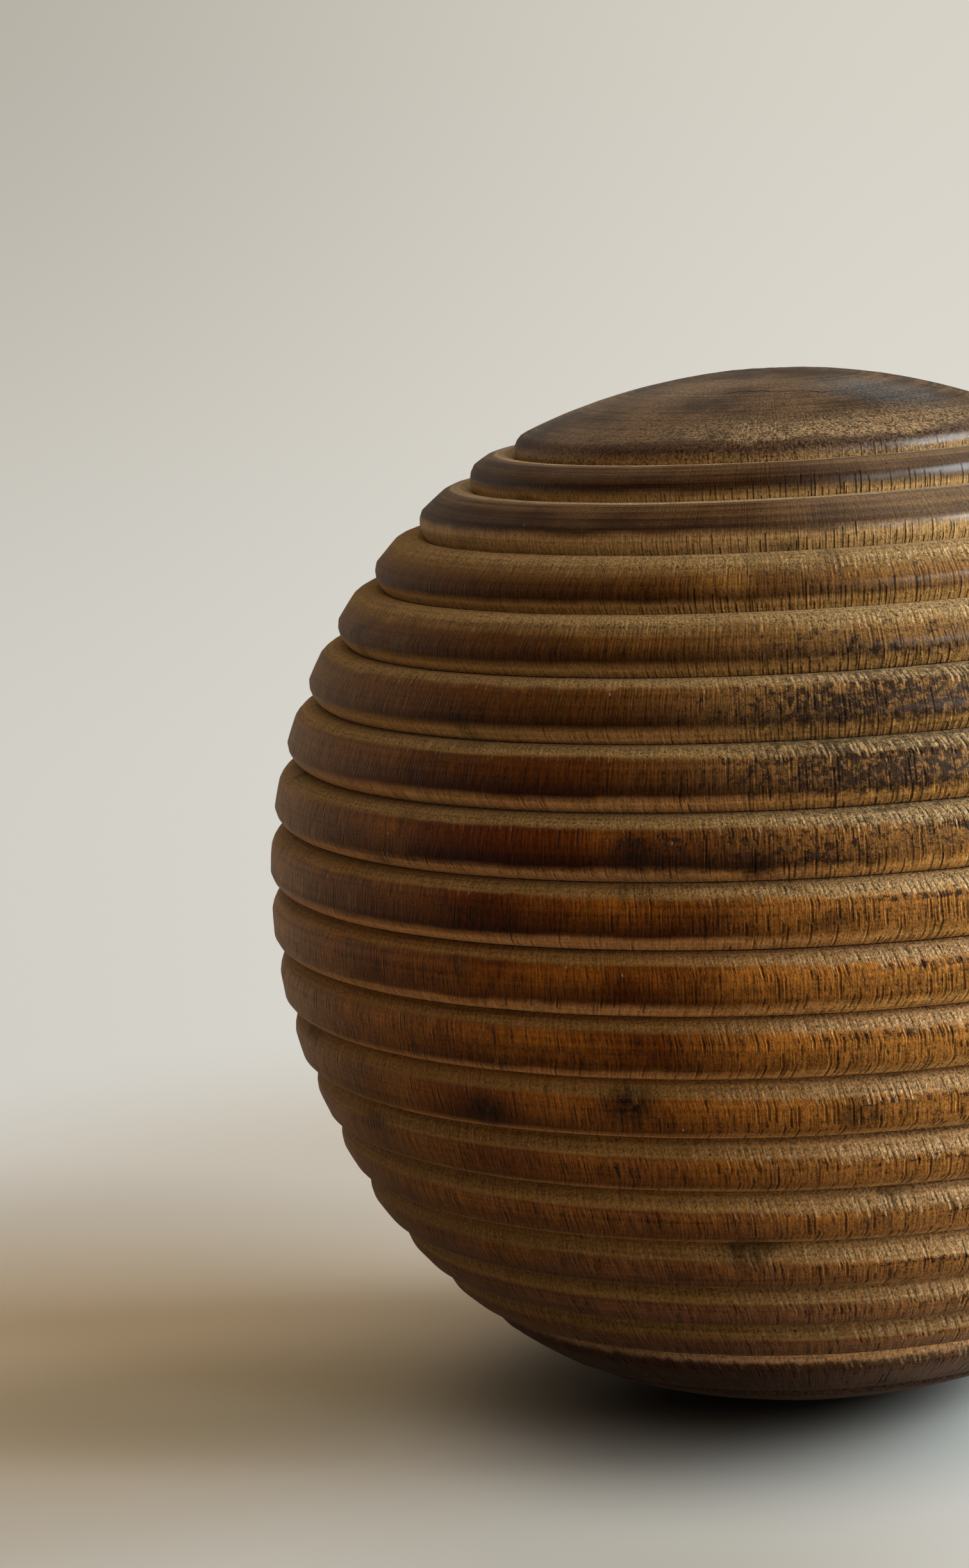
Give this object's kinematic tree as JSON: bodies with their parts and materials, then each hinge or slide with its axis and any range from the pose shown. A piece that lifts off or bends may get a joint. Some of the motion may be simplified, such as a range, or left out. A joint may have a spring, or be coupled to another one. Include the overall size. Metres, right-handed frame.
{
  "type": "ribbed wooden ball",
  "caption": "Decorative turned hardwood ball, ribbed all round with rounded beads between two domed caps; stands on a small flat under the lower cap.",
  "frame": {"origin": "on the surface that the ball stands on, at the middle of the flat on its lower cap", "axes": "+Z along the turning axis, up from the flat to the upper cap; X and Y are any two directions across it, and +X is to the right seen from the front"},
  "size_m": [0.1, 0.1, 0.098],
  "materials": {
    "turned_wood": "dark stained hardwood, satin, worn, end grain showing on the caps"
  },
  "bodies": {
    "root": {"turned_ball": "turned_wood"}
  },
  "joints": []
}
